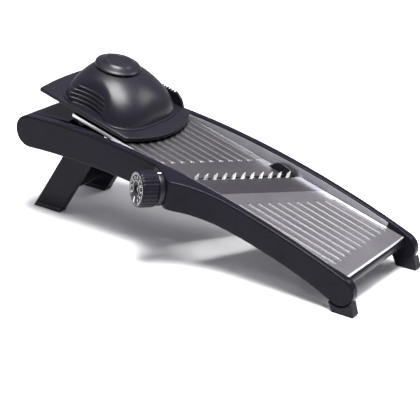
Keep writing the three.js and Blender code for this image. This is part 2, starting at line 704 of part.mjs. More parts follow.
// Finger scoop: an upright cylinder that leans in towards the top.
function scoopTool(side, r, low, high, sides = 72) {
  const tool = rodZ(r, 0, high - low, sides, SCOOP.x, side * (SCOOP.depth + SCOOP.r));
  const lean = new THREE.Matrix4().makeShear(0, 0, 0, 0, 0, -side * SCOOP.lean);
  return tool.applyMatrix4(lean).translate(0, -side * SCOOP.lean * (low - SCOOP.low), low);
}

// Serrated rest on the left-hand edge of the flange, which rounds off down to the front corner.
function buildThumbRest() {
  const { x, top, tooth, pitch, teeth, y0, y1 } = REST;
  const foot = FLANGE.low + 0.5;
  const points = [[x, foot]];
  for (let i = 0; i < teeth; i += 1) {
    const start = x + i * pitch;
    points.push([start, top], [start + 1.2, top], [start + 2, top + tooth], [start + 2.9, top + tooth]);
  }
  const end = x + teeth * pitch;
  points.push([end, top], [end + 1.4, top + 0.4], [end + 2.4, top + tooth]);
  points.push([end + 6.2, top + 1], [end + 9.6, top - 1.8], [end + 12.6, top - 5.2], [end + 15.2, top - 9.6]);
  points.push([end + 16.6, foot]);
  return across(outline(points), y0, y1);
}

function buildHolderShell() {
  const halfLength = (SHELL.front - SHELL.rear) / 2;
  const body = dome(halfLength, SHELL.half, FLANGE.low, SHELL.top, 56);
  const flange = slab(flangePlan(), FLANGE.low, FLANGE.high, 16);
  const runners = [-1, 1].map((side) => {
    const y0 = side > 0 ? RUNNER.inner : -FLANGE.half;
    const y1 = side > 0 ? FLANGE.half : -RUNNER.inner;
    return box(RUNNER.rear, RUNNER.front, y0, y1, RUNNER.low, FLANGE.low + 0.5);
  });
  const hollow = dome(halfLength - 3.5, SHELL.half_in, 0, SHELL.top - 3, 40);
  const cuts = [hollow, scoopTool(1, SCOOP.r, SCOOP.low, 50), scoopTool(-1, SCOOP.r, SCOOP.low, 50)];
  cuts.push(rodZ(4.9, 30, 50, 24));
  const shell = cut(join(body, flange, ...runners), ...cuts);
  mesh('holder_shell', join(shell, buildThumbRest()), satinBlack(), holderFrame);
}

// Ridged pad that lines a finger scoop.
function buildGripPad(side) {
  const low = 9;
  const high = 27;
  const pitch = 4.8;
  const outer = scoopTool(side, SCOOP.r - GAP, low, high);
  const face = scoopTool(side, SCOOP.r - 1.2, low - 1, high + 1);
  const bands = [];
  for (let z = low + 1.8; z < high - 1.4; z += pitch) {
    bands.push(scoopTool(side, SCOOP.r - 0.6, z, z + 1.4));
    bands.push(scoopTool(side, SCOOP.r - 2.4, z - 1, z + 2.4));
  }
  let pad = solid(outer).subtract(solid(face));
  for (let i = 0; i < bands.length; i += 2) {
    pad = pad.add(solid(bands[i]).subtract(solid(bands[i + 1])));
  }
  const halfLength = (SHELL.front - SHELL.rear) / 2;
  const inside = solid(dome(halfLength - 1, SHELL.half - 1, FLANGE.low, SHELL.top, 56));
  const window = solid(box(SCOOP.x - 19, SCOOP.x + 17, -60, 60, 0, 40));
  pad = pad.intersect(inside).intersect(window);
  mesh(side > 0 ? 'grip_pad_left' : 'grip_pad_right', surface(pad), satinBlack(), holderFrame);
}

function buildPlunger() {
  const cap = turned([
    [4.8, 42.5], [8, 42.5], [8, 44], [19.3, 43.2], [20.2, 41.7], [22.2, 41.7], [22.6, 42.4],
    [22.4, 43.6], [20, 45.6], [14.2, 48.9], [12.8, 49.1], [11.8, 48.6], [11, 47.9], [0, 47.6],
    [0, 45.2], [4.8, 45.2], [4.8, 42.5],
  ], 48);
  mesh('holder_cap', cap, satinBlack(), holderFrame);
  const rod = turned([
    [1.9, PRONG_DISC.high + GAP], [4.5, PRONG_DISC.high + GAP], [4.5, 44.9], [0, 44.9], [0, 21], [1.9, 21],
    [1.9, PRONG_DISC.high + GAP],
  ], 24);
  mesh('plunger_rod', rod, brightSteel(), holderFrame);
  const spikes = [];
  const spacing = 11;
  for (let row = -2; row <= 2; row += 1) {
    const count = 5 - Math.abs(row);
    for (let i = 0; i < count; i += 1) {
      const y = (i - (count - 1) / 2) * spacing;
      const x = row * spacing * Math.sin(Math.PI / 3);
      if (row === 0 && i === 2) continue;
      const spike = new THREE.CylinderGeometry(0.35, 1.5, 8.2, 6).rotateX(-Math.PI / 2);
      spikes.push(spike.translate(x, y, PRONG_DISC.low + 0.5 - 4.1));
    }
  }
  const disc = rodZ(PRONG_DISC.r, PRONG_DISC.low, PRONG_DISC.high, 40);
  const plate = cut(join(disc, ...spikes), rodZ(1.9, 5, 14, 12));
  mesh('prong_disc', plate, satinBlack(), holderFrame);
  const low = PRONG_DISC.low - GAP;
  const screw = turned([
    [0, low - 1.6], [3.4, low - 1.6], [3.4, low], [1.5, low], [1.5, 20.5], [0, 20.5],
  ], 16);
  mesh('disc_screw', screw, brightSteel(), holderFrame);
}

// ---------------------------------------------------------------- assembly
buildRails();
buildLiners();
buildRearHandle();
buildFrontCrossbar();
buildFrontFeet();
buildOutputPlate();
buildBlade();
buildBladeBridge();
buildJulienneComb();
buildCombCarrier();
buildInputRamp();
buildRampCarrier();
buildDial();
buildStand();
buildHolderShell();
buildGripPad(1);
buildGripPad(-1);
buildPlunger();

// The origin is moved under the middle of the whole object, on the floor plane.
slicer.updateMatrixWorld(true);
const extent = new THREE.Box3().setFromObject(slicer, true);
const centre = extent.getCenter(new THREE.Vector3());
slicer.position.set(-centre.x, -centre.y, -extent.min.z);

export default slicer;
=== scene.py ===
import math
import bmesh
import bpy
import numpy as np
from mathutils import Matrix, Vector


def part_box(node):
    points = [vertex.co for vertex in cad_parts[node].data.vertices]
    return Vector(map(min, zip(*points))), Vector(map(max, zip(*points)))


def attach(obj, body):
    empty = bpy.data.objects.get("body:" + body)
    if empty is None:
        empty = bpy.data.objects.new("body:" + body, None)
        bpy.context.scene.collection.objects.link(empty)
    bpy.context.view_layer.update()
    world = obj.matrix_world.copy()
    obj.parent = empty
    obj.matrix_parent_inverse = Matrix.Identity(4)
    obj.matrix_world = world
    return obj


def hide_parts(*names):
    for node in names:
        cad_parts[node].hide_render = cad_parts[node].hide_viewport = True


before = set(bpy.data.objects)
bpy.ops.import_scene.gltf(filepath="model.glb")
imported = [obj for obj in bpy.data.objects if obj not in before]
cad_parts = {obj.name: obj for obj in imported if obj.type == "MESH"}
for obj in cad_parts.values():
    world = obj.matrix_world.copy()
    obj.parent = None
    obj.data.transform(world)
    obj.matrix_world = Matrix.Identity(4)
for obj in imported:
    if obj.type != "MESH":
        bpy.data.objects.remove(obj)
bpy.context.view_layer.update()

# Drawing coordinates are millimetres with x = 0 at the front edge of the output plate, y = 0 in
# the mid plane and z = 0 on the floor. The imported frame's offset comes from two known nodes.
RAIL_FRONT = 11.0
RAIL_SIDE = 62.5
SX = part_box("right_rail")[1][0] * 1000 - RAIL_FRONT
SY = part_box("left_rail")[1][1] * 1000 - RAIL_SIDE

# The input ramp and the output plate: slope, and the point where each one's own x axis starts.
RAMP_SLOPE, RAMP_REAR, RAMP_TOP = 0.273, -312, 116.3
PLATE_SLOPE, PLATE_NOSE = 0.29, 31.8
IN = math.atan(RAMP_SLOPE)
OUT = math.atan(PLATE_SLOPE)

# How far the blade, the comb and the seams move forward for each millimetre across.
DIAG = 0.553


def frame_of(origin, ax, ay, az):
    """A frame is its three axes, as rows, and its origin."""
    return np.array([ax, ay, az], float), np.array(origin, float)


def local(fr, pts):
    basis, origin = fr
    return np.asarray(pts, float) @ basis + origin


def sloped(origin, angle):
    """Frame whose x axis runs down the slope and whose z axis stands square on it."""
    c, s = math.cos(angle), math.sin(angle)
    return frame_of(origin, (c, 0, -s), (0, 1, 0), (s, 0, c))


WORLD = frame_of((0, 0, 0), (1, 0, 0), (0, 1, 0), (0, 0, 1))
RAMP = sloped((RAMP_REAR, 0, RAMP_TOP), IN)
PLATE = sloped((0, 0, PLATE_NOSE), OUT)
HOLDER_AT = 5.5
HOLDER = (RAMP[0], local(RAMP, [(HOLDER_AT, 0, 0)])[0])

# The dial looks to the right and backwards, turned by DIAL_TURN from straight sideways.
DIAL_AT = (-190.8, -70.4, 74.6)
DIAL_TURN = math.radians(30)
normal = np.array([math.sin(IN), 0, math.cos(IN)])
uphill = np.array([-math.cos(IN), 0, math.sin(IN)])
dial_out = uphill * math.sin(DIAL_TURN) + np.array([0, -1, 0]) * math.cos(DIAL_TURN)
DIAL = frame_of(DIAL_AT, np.cross(normal, dial_out), normal, dial_out)


def metres(pts):
    """Drawing coordinates to the imported frame, in metres."""
    return (np.asarray(pts, float) + np.array([SX, SY, 0])) / 1000


# ------------------------------------------------------------------ materials
def nodes_of(name):
    mat = bpy.data.materials.new(name)
    mat.use_nodes = True
    nt = mat.node_tree
    bsdf = next(n for n in nt.nodes if n.type == "BSDF_PRINCIPLED")
    return mat, nt, bsdf


def link(nt, a, b):
    nt.links.new(a, b)


def coords(nt, scale):
    tc = nt.nodes.new("ShaderNodeTexCoord")
    mp = nt.nodes.new("ShaderNodeMapping")
    mp.inputs["Scale"].default_value = scale
    link(nt, tc.outputs["Object"], mp.inputs["Vector"])
    return mp.outputs["Vector"]


def noise(nt, vector, scale, detail=4.0, rough=0.55):
    n = nt.nodes.new("ShaderNodeTexNoise")
    n.inputs["Scale"].default_value = scale
    n.inputs["Detail"].default_value = detail
    n.inputs["Roughness"].default_value = rough
    link(nt, vector, n.inputs["Vector"])
    return n.outputs["Fac"]


def spread(nt, value, lo, hi):
    """Carries the middle of a noise's range over lo to hi."""
    r = nt.nodes.new("ShaderNodeMapRange")
    r.inputs["To Min"].default_value = lo
    r.inputs["To Max"].default_value = hi
    r.inputs["From Min"].default_value = 0.3
    r.inputs["From Max"].default_value = 0.7
    link(nt, value, r.inputs["Value"])
    return r.outputs["Result"]


def blend_colour(nt, value, a, b):
    m = nt.nodes.new("ShaderNodeMix")
    m.data_type = "RGBA"
    m.inputs[6].default_value = (*a, 1)
    m.inputs[7].default_value = (*b, 1)
    link(nt, value, m.inputs[0])
    return m.outputs[2]


def bump(nt, bsdf, height, distance):
    b = nt.nodes.new("ShaderNodeBump")
    b.inputs["Distance"].default_value = distance
    link(nt, height, b.inputs["Height"])
    link(nt, b.outputs["Normal"], bsdf.inputs["Normal"])


def plastic(name, dark, light, rough, grain, grain_scale=1800.0, spec=0.22):
    """Moulded plastic: faint clouds of colour and roughness, and a fine grain grain metres deep."""
    mat, nt, bsdf = nodes_of(name)
    v = coords(nt, (1, 1, 1))
    wide = noise(nt, v, 45.0, 5.0)
    link(nt, blend_colour(nt, spread(nt, wide, 0, 1), dark, light), bsdf.inputs["Base Color"])
    link(nt, spread(nt, noise(nt, v, 160.0, 6.0, 0.6), rough[0], rough[1]), bsdf.inputs["Roughness"])
    bump(nt, bsdf, noise(nt, v, grain_scale, 3.0, 0.6), grain)
    bsdf.inputs["IOR"].default_value = 1.49
    bsdf.inputs["Specular IOR Level"].default_value = spec
    return mat


def side_facing(nt):
    """0 on faces that look up or along the slicer, 1 on faces that look sideways: the mask for the painted
    shade on the ribs' flanks.
    """
    split = nt.nodes.new("ShaderNodeSeparateXYZ")
    link(nt, nt.nodes.new("ShaderNodeTexCoord").outputs["Normal"], split.inputs[0])
    size = nt.nodes.new("ShaderNodeMath")
    size.operation = "ABSOLUTE"
    link(nt, split.outputs["Y"], size.inputs[0])
    ramp = nt.nodes.new("ShaderNodeMapRange")
    ramp.inputs["From Min"].default_value = 0.10
    ramp.inputs["From Max"].default_value = 0.45
    link(nt, size.outputs[0], ramp.inputs["Value"])
    return ramp.outputs["Result"]


BRUSH_ALONG, BRUSH_ACROSS = 14.0, 1500.0


def steel(name, colour, rough, grain, metal=1.0, sides=1.0):
    """Steel brushed along x. sides dims the colour on faces that look sideways, such as ribs' flanks: painted
    shade that stands in for the flanks' darker reflections.
    """
    mat, nt, bsdf = nodes_of(name)
    line = noise(nt, coords(nt, (BRUSH_ALONG, BRUSH_ACROSS, BRUSH_ACROSS)), 1.0, 5.0, 0.65)
    soft = noise(nt, coords(nt, (1, 1, 1)), 22.0, 4.0)
    dark = tuple(c * 0.86 for c in colour)
    tone = blend_colour(nt, spread(nt, line, 0, 1), dark, colour)
    # Painted shade: sideways faces, such as the ribs' flanks, get the colour times sides.
    if sides < 1.0:
        mix = nt.nodes.new("ShaderNodeMix")
        mix.data_type = "RGBA"
        link(nt, side_facing(nt), mix.inputs[0])
        link(nt, tone, mix.inputs[6])
        mix.inputs[7].default_value = tuple(c * sides for c in colour) + (1.0,)
        tone = mix.outputs[2]
    link(nt, tone, bsdf.inputs["Base Color"])
    mixed = nt.nodes.new("ShaderNodeMath")
    mixed.operation = "ADD"
    link(nt, spread(nt, line, -0.05, 0.05), mixed.inputs[0])
    link(nt, spread(nt, soft, rough[0], rough[1]), mixed.inputs[1])
    link(nt, mixed.outputs[0], bsdf.inputs["Roughness"])
    bsdf.inputs["Metallic"].default_value = metal
    bump(nt, bsdf, line, grain)
    return mat


GLOSS = plastic("gloss_black_plastic", (0.0060, 0.0053, 0.0089), (0.0078, 0.0069, 0.0116),
                (0.16, 0.24), 0.000008, spec=0.06)
KNOB = plastic("knob_black_plastic", (0.005, 0.0045, 0.008), (0.007, 0.006, 0.011),
               (0.26, 0.36), 0.000015, spec=0.10)
SATIN = plastic("satin_black_plastic", (0.0062, 0.0054, 0.0090), (0.0080, 0.0070, 0.0117),
                (0.30, 0.34), 0.000010, 1400.0, spec=0.22)
MATT = plastic("matt_black_plastic", (0.005, 0.0044, 0.0075), (0.008, 0.007, 0.0112),
               (0.45, 0.58), 0.00004, 1200.0, spec=0.12)
RUBBER = plastic("black_rubber", (0.012, 0.012, 0.013), (0.02, 0.02, 0.021), (0.62, 0.8), 0.00008, 900.0)
PRINT = plastic("white_print", (0.62, 0.62, 0.62), (0.72, 0.72, 0.72), (0.45, 0.55), 0.00001)
# The plate's and the ramp's rib flanks are darkened through sides: painted shade.
PLATE_STEEL = steel("plate_steel_painted_flank_shade", (0.262, 0.256, 0.272), (0.36, 0.42), 0.0000015, sides=0.12)
RAMP_STEEL = steel("ramp_steel_painted_flank_shade", (0.170, 0.165, 0.176), (0.34, 0.40), 0.0000015, sides=0.24)
BLADE_STEEL = steel("blade_steel", (0.132, 0.127, 0.140), (0.32, 0.38), 0.0000015)
# Teeth: near-white and only half metallic, so their bright sheen is painted into the colour.
TOOTH_STEEL_PAINTED_SHEEN = steel("tooth_steel_painted_sheen", (0.90, 0.90, 0.91), (0.30, 0.40), 0.000004, metal=0.45)
LINER_STEEL = steel("liner_steel", (0.64, 0.65, 0.68), (0.34, 0.38), 0.0000006)
# Near-white, partly metallic steel for the ramp's near edge: a painted highlight along that edge.
EDGE_STEEL_PAINTED_HIGHLIGHT = steel("edge_steel_painted_highlight", (0.92, 0.92, 0.94), (0.30, 0.36), 0.000002, metal=0.6)
# Lighter steel than the plate, for its rolled lip: a painted highlight along the nose.
LIP_STEEL_PAINTED_HIGHLIGHT = steel("lip_steel_painted_highlight", (0.62, 0.61, 0.64), (0.34, 0.38), 0.000001)
FASTENER = steel("fastener_steel", (0.62, 0.62, 0.63), (0.22, 0.34), 0.000006)


# ------------------------------------------------------------------ mesh helpers
def smooth_by_angle(mesh, degrees):
    mesh.polygons.foreach_set("use_smooth", [True] * len(mesh.polygons))
    mesh.set_sharp_from_angle(angle=math.radians(degrees))


def mesh_object(name, pts, faces, fr=WORLD, merge=1e-5):
    """Mesh from points given in the frame fr, with doubled points merged and normals turned outwards."""
    mesh = bpy.data.meshes.new(name)
    mesh.from_pydata([tuple(p) for p in metres(local(fr, pts))], [], [tuple(f) for f in faces])
    bm = bmesh.new()
    bm.from_mesh(mesh)
    bmesh.ops.remove_doubles(bm, verts=bm.verts, dist=merge)
    bmesh.ops.dissolve_degenerate(bm, edges=bm.edges, dist=merge * 0.5)
    bmesh.ops.recalc_face_normals(bm, faces=bm.faces)
    bm.to_mesh(mesh)
    bm.free()
    obj = bpy.data.objects.new(name, mesh)
    bpy.context.scene.collection.objects.link(obj)
    return obj


def apply_modifiers(obj):
    deps = bpy.context.evaluated_depsgraph_get()
    done = bpy.data.meshes.new_from_object(obj.evaluated_get(deps))
    old = obj.data
    obj.modifiers.clear()
    obj.data = done
    bpy.data.meshes.remove(old)


def boolean(obj, tool, operation="DIFFERENCE"):
    mod = obj.modifiers.new("b", "BOOLEAN")
    mod.operation = operation
    mod.solver = "EXACT"
    mod.object = tool
    bpy.context.view_layer.update()
    apply_modifiers(obj)
    data = tool.data
    bpy.data.objects.remove(tool)
    bpy.data.meshes.remove(data)


def rounded(obj, width, segments=3, angle=35):
    mod = obj.modifiers.new("edge", "BEVEL")
    mod.width = width / 1000
    mod.segments = segments
    mod.limit_method = "ANGLE"
    mod.angle_limit = math.radians(angle)
    bpy.context.view_layer.update()
    apply_modifiers(obj)


def piece(obj, mat, body, slot, replaces=(), angle=30):
    """Finishes a drawn piece and puts it in place of the nodes it replaces."""
    obj.data.materials.clear()
    obj.data.materials.append(mat)
    smooth_by_angle(obj.data, angle)
    if replaces:
        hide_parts(*replaces)
    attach(obj, body)
    return obj


def finish_node(name, mat, bevel=0.0, angle=32, segments=2):
    """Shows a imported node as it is, with a material and softened edges."""
    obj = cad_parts[name]
    obj.data.materials.clear()
    obj.data.materials.append(mat)
    smooth_by_angle(obj.data, angle)
    if bevel:
        mod = obj.modifiers.new("edge", "BEVEL")
        mod.width = bevel / 1000
        mod.segments = segments
        mod.limit_method = "ANGLE"
        mod.angle_limit = math.radians(38)
        mod.harden_normals = True


def grid_faces(rows, cols, base=0, flip=False):
    faces = []
    for i in range(rows - 1):
        for j in range(cols - 1):
            a = base + i * cols + j
            quad = (a, a + 1, a + cols + 1, a + cols)
            faces.append(quad[::-1] if flip else quad)
    return faces


def closed_loft(rings):
    """Rings of equal length, joined in order and closed by a face at both ends."""
    n = len(rings[0])
    pts = np.vstack(rings)
    faces = []
    for r in range(len(rings) - 1):
        for i in range(n):
            a, b = r * n + i, r * n + (i + 1) % n
            faces.append((a, b, b + n, a + n))
    faces.append(tuple(range(n))[::-1])
    faces.append(tuple((len(rings) - 1) * n + i for i in range(n)))
    return pts, faces


def turned(name, profile, fr, sides=96):
    """Profile of radius and height turned about the frame's z axis. Its ends lie on the axis or meet."""
    closed = profile[0] == profile[-1]
    prof = profile[:-1] if closed else profile
    ang = np.linspace(0, 2 * math.pi, sides, endpoint=False)
    pts, faces, m = [], [], len(prof)
    for r, h in prof:
        pts.extend([(r * math.cos(a), r * math.sin(a), h) for a in ang])
    for k in range(m if closed else m - 1):
        for i in range(sides):
            a, b = k * sides + i, k * sides + (i + 1) % sides
            c, d = (k + 1) % m * sides + (i + 1) % sides, (k + 1) % m * sides + i
            faces.append((a, b, c, d))
    return mesh_object(name, pts, faces, fr)


def arc(cx, cy, r, a0, a1, n):
    t = np.radians(np.linspace(a0, a1, n))
    return [(cx + r * math.cos(a), cy + r * math.sin(a)) for a in t]


def bezier(p, n):
    t = np.linspace(0, 1, n)[:, None]
    u = 1 - t
    p = np.asarray(p, float)
    return u ** 3 * p[0] + 3 * u ** 2 * t * p[1] + 3 * u * t ** 2 * p[2] + t ** 3 * p[3]


def block(name, lo, hi, fr=WORLD, skew=0.0):
    """Box between two corners, sheared along x by skew for each millimetre across."""
    pts = [(x + skew * y, y, z) for x in (lo[0], hi[0]) for y in (lo[1], hi[1]) for z in (lo[2], hi[2])]
    faces = [(0, 1, 3, 2), (4, 6, 7, 5), (0, 4, 5, 1), (2, 3, 7, 6), (0, 2, 6, 4), (1, 5, 7, 3)]
    return mesh_object(name, pts, faces, fr)


def prism(name, outline, y0, y1, fr=WORLD):
    """Outline in x and z, carried across from y0 to y1."""
    n = len(outline)
    pts = [(x, y0, z) for x, z in outline] + [(x, y1, z) for x, z in outline]
    faces = [(i, (i + 1) % n, n + (i + 1) % n, n + i) for i in range(n)]
    faces += [tuple(range(n))[::-1], tuple(range(n, 2 * n))]
    return mesh_object(name, pts, faces, fr)


# ------------------------------------------------------------------ side rails
# The rail's side view: a round rear end, two long curves and a round front end.
HEEL_X, HEEL_Z, HEEL_R = -362, 90.5, 16.5
TOE_X, TOE_Z, TOE_R = -3, 20, 14
TOP = [(HEEL_X, 107), (-185.3, 112.3), (-9, 37.85), (2.5, 32.9)]
BOTTOM = [(HEEL_X, 74), (-202.4, 78.8), (-49.6, 32.1), (-10.3, 8.05)]
top_line = np.array(arc(HEEL_X, HEEL_Z, HEEL_R, 180, 90, 40)[:-1] + [tuple(p) for p in bezier(TOP, 220)]
                    + arc(TOE_X, TOE_Z, TOE_R, 66.9, 0, 40)[1:])
low_line = np.array(arc(HEEL_X, HEEL_Z, HEEL_R, 180, 270, 40)[:-1] + [tuple(p) for p in bezier(BOTTOM, 220)]
                    + arc(TOE_X, TOE_Z, TOE_R, 238.6, 360, 60)[1:])

RAIL_INNER = 52.1
ROUND_OUTSIDE, ROUND_INSIDE = 1.8, 1.2
RIM = 1.2
FLARE = 2.6
LINER_DROP = 4.5


def edge_distance(x, z):
    """How far points of the side view lie from the rail's outline."""
    out = np.full(x.shape, 1e9)
    for line in (top_line, low_line):
        a, b = line[:-1], line[1:]
        for (ax, az), (bx, bz) in zip(a, b):
            dx, dz = bx - ax, bz - az
            t = np.clip(((x - ax) * dx + (z - az) * dz) / (dx * dx + dz * dz + 1e-12), 0, 1)
            out = np.minimum(out, np.hypot(x - ax - t * dx, z - az - t * dz))
    return out


def soft_min(a, b, k):
    """The lower of a and b, with a rounding about k wide where they cross."""
    h = np.clip(0.5 + 0.5 * (b - a) / k, 0, 1)
    return b * (1 - h) + a * h - k * h * (1 - h)


def rail_width(side, x, z):
    """Half width to the rail's outer face. The right rail swells out to the slanted facet under the dial."""
    plain = np.interp(x, [-380, -150, 12], [62.5, 62.5, 60.8])
    if side > 0:
        return plain
    tail = bezier([(-170, 76.4), (-158, 68.5), (-140, 63), (-110, 61.9)], 60)
    lump = np.interp(x, np.r_[-230, -182, -178, -174.5, tail[:, 0]], np.r_[84, 80, 79.6, 78.3, tail[:, 1]])
    facet = -DIAL_AT[1] + (0.48235 * (x - DIAL_AT[0]) - 0.13167 * (z - DIAL_AT[2])) / 0.866
    swell = soft_min(lump, facet, 2.4)
    swell = np.where(x > -110, 0, swell)
    return -soft_min(-plain, -swell, 1.6)


def liner_foot(xs):
    """Height of the liners' lower edge, a little under the ramp and the plate."""
    ramp = RAMP_TOP - (xs - RAMP_REAR) * RAMP_SLOPE
    return np.where(xs < -159, ramp, PLATE_NOSE - PLATE_SLOPE * xs) - LINER_DROP


def flare(t):
    """How far the wall leans outwards at the share t of its height."""
    return 0.35 * t + 0.65 * t ** 2


def build_rail(side):
    xs = np.r_[
        HEEL_X - HEEL_R + HEEL_R * (1 - np.cos(np.linspace(0, math.pi / 2, 16))),
        np.arange(-358, -212, 4.0),
        np.arange(-212, -108, 1.0 if side < 0 else 4.0),
        np.arange(-108, -18, 4.0),
        np.arange(-18, -3.5, 1.5),
        TOE_X + TOE_R * np.sin(np.linspace(0, math.pi / 2, 18)),
    ]
    zt = np.interp(xs, top_line[:, 0], top_line[:, 1])
    zb = np.interp(xs, low_line[:, 0], low_line[:, 1])
    near = np.array([0, 0.06, 0.22, 0.5, 0.9, 1.4, 2.0, 2.8])
    inner = np.linspace(0, 1, 12)[1:-1]
    grid = []
    for x, hi, lo in zip(xs, zt, zb):
        f = min(1.0, (hi - lo) / 6.4)
        e = near * f
        mid = lo + e[-1] + inner * (hi - lo - 2 * e[-1])
        grid.append(np.r_[lo + e, mid, (hi - e)[::-1]])
    z = np.array(grid)
    x = np.repeat(xs[:, None], z.shape[1], 1)
    d = edge_distance(x.ravel(), z.ravel()).reshape(x.shape)
    d[:, 0] = d[:, -1] = 0
    d[0, :] = d[-1, :] = 0
    r_out, r_in = ROUND_OUTSIDE, ROUND_INSIDE
    fall = r_out - np.sqrt(r_out ** 2 - (r_out - np.minimum(d, r_out)) ** 2)
    lift = r_in - np.sqrt(r_in ** 2 - (r_in - np.minimum(d, r_in)) ** 2)
    y_out = side * (rail_width(side, x, z) - fall)
    lean = FLARE * np.clip((x + 300) / 30, 0, 1) * np.clip((2 - x) / 12, 0, 1)
    foot = liner_foot(xs)[:, None]
    rise = np.clip((z - foot) / np.maximum(zt[:, None] - RIM - foot, 1.0), 0, 1)
    y_in = side * (RAIL_INNER + lean * flare(rise) + lift)
    rows, cols = x.shape
    outer = np.stack([x, y_out, z], -1).reshape(-1, 3)
    inside = np.stack([x, y_in, z], -1).reshape(-1, 3)
    n = rows * cols
    faces = grid_faces(rows, cols) + grid_faces(rows, cols, n, True)
    for i in range(rows - 1):
        for j in (0, cols - 1):
            a, b = i * cols + j, (i + 1) * cols + j
            faces.append((a, b, n + b, n + a))
    for i in (0, rows - 1):
        for j in range(cols - 1):
            a, b = i * cols + j, i * cols + j + 1
            faces.append((a, b, n + b, n + a))
    word = "left" if side > 0 else "right"
    obj = mesh_object(f"{word}_rail_skin", np.vstack([outer, inside]), faces, merge=2e-6)
    if side < 0:
        cam_pocket = block("t", (-193, -64.2, 63.8), (-175, -50, 85))
        shaft_bore = turned("t", [(0, -16), (4.9, -16), (4.9, 6), (0, 6)], DIAL, 40)
        boolean(obj, cam_pocket)
        boolean(obj, shaft_bore)
    piece(obj, GLOSS, "base", "gloss_black", [f"{word}_rail"], 34)


# ------------------------------------------------------------------ liners
LINER_INNER, LINER_OUTER = 50.75, 51.45


def build_liner(side, part):
    x0, x1 = (-264, -85.3) if part == "rear" else (-85, -19)
    xs = np.linspace(x0, x1, 60)
    top = np.interp(xs, top_line[:, 0], top_line[:, 1]) - RIM
    low = liner_foot(xs)
    steps = 9
    pts = []
    for x, hi, lo in zip(xs, top, low):
        for k in range(steps + 1):
            t = k / steps
            pts.append((x, side * (LINER_INNER + FLARE * flare(t)), lo + (hi - lo) * t))
        for k in range(steps, -1, -1):
            t = k / steps
            pts.append((x, side * (LINER_OUTER + FLARE * flare(t)), lo + (hi - lo) * t))
    n = 2 * steps + 2
    faces = []
    for i in range(len(xs) - 1):
        for j in range(n):
            a, b = i * n + j, i * n + (j + 1) % n
            faces.append((a, b, b + n, a + n))
    faces += [tuple(range(n))[::-1], tuple((len(xs) - 1) * n + j for j in range(n))]
    word = "left" if side > 0 else "right"
    obj = mesh_object(f"{word}_liner_{part}_skin", pts, faces)
    if side < 0 and part == "rear":
        lug_notch = block("t", (-194.5, -54, 50), (-172, -50, 90))
        boolean(obj, lug_notch)
    piece(obj, LINER_STEEL, "base", "bright_steel", [f"{word}_liner_{part}"], 40)


# ------------------------------------------------------------------ ribbed plates
RIB_PITCH, RIB_SHIFT, RIB_COUNT = 8.786, 0.67, 11
RIB_HEIGHT = 0.85
RIB_Y = [(i - RIB_COUNT // 2) * RIB_PITCH + RIB_SHIFT for i in range(RIB_COUNT)]


def rib_height(x, y, half, crest, end_lo, end_hi):
    """Height of the ribbed face. end_lo and end_hi give a rib's two ends from its own y."""
    h = np.zeros(x.shape)
    for ry in RIB_Y:
        a, b = end_lo(ry) + half, end_hi(ry) - half
        d = np.hypot(x - np.clip(x, a, b), y - ry) / half
        t = np.clip((1 - d) / (1 - crest), 0, 1)
        h = np.maximum(h, RIB_HEIGHT * np.sin(t * math.pi / 2) ** 1.2)
    return h


def rib_columns(half, edge):
    """Places across the sheet, close together over each rib."""
    cols = [-edge, -edge + 0.5]
    for ry in RIB_Y:
        for f in (-1.12, -0.98, -0.85, -0.68, -0.45, -0.15, 0.15, 0.45, 0.68, 0.85, 0.98, 1.12):
            cols.append(ry + f * half)
    cols += [edge - 0.5, edge]
    cols = np.unique(np.round(np.clip(cols, -edge, edge), 3))
    keep = [cols[0]]
    for c in cols[1:]:
        if c - keep[-1] > 0.08:
            keep.append(c)
    return np.array(keep)


def sheet(name, ys, stations, height, fr, thick=1.2):
    """Ribbed sheet: top grid lifted by height, flat underside, closed rim. stations(y) gives the x values."""
    xs = np.array([stations(y) for y in ys])
    y = np.repeat(ys[:, None], xs.shape[1], 1)
    z = height(xs, y)
    n = xs.size
    top = np.stack([xs, y, z], -1).reshape(-1, 3)
    low = np.stack([xs, y, np.full(xs.shape, -thick)], -1).reshape(-1, 3)
    rows, cols = xs.shape
    faces = grid_faces(rows, cols) + grid_faces(rows, cols, n, True)
    rim = [i * cols for i in range(rows)] + [(rows - 1) * cols + j for j in range(1, cols)]
    rim += [i * cols + cols - 1 for i in range(rows - 2, -1, -1)] + [j for j in range(cols - 2, 0, -1)]
    for a, b in zip(rim, rim[1:] + rim[:1]):
        faces.append((a, b, n + b, n + a))
    return mesh_object(name, top.tolist() + low.tolist(), faces, fr)


def join(name, *objs):
    """One object made of several separate solids."""
    bm = bmesh.new()
    for o in objs:
        bm.from_mesh(o.data)
    mesh = bpy.data.meshes.new(name)
    bm.to_mesh(mesh)
    bm.free()
    for o in objs:
        data = o.data
        bpy.data.objects.remove(o)
        bpy.data.meshes.remove(data)
    obj = bpy.data.objects.new(name, mesh)
    bpy.context.scene.collection.objects.link(obj)
    return obj


LIP_R = 1.3


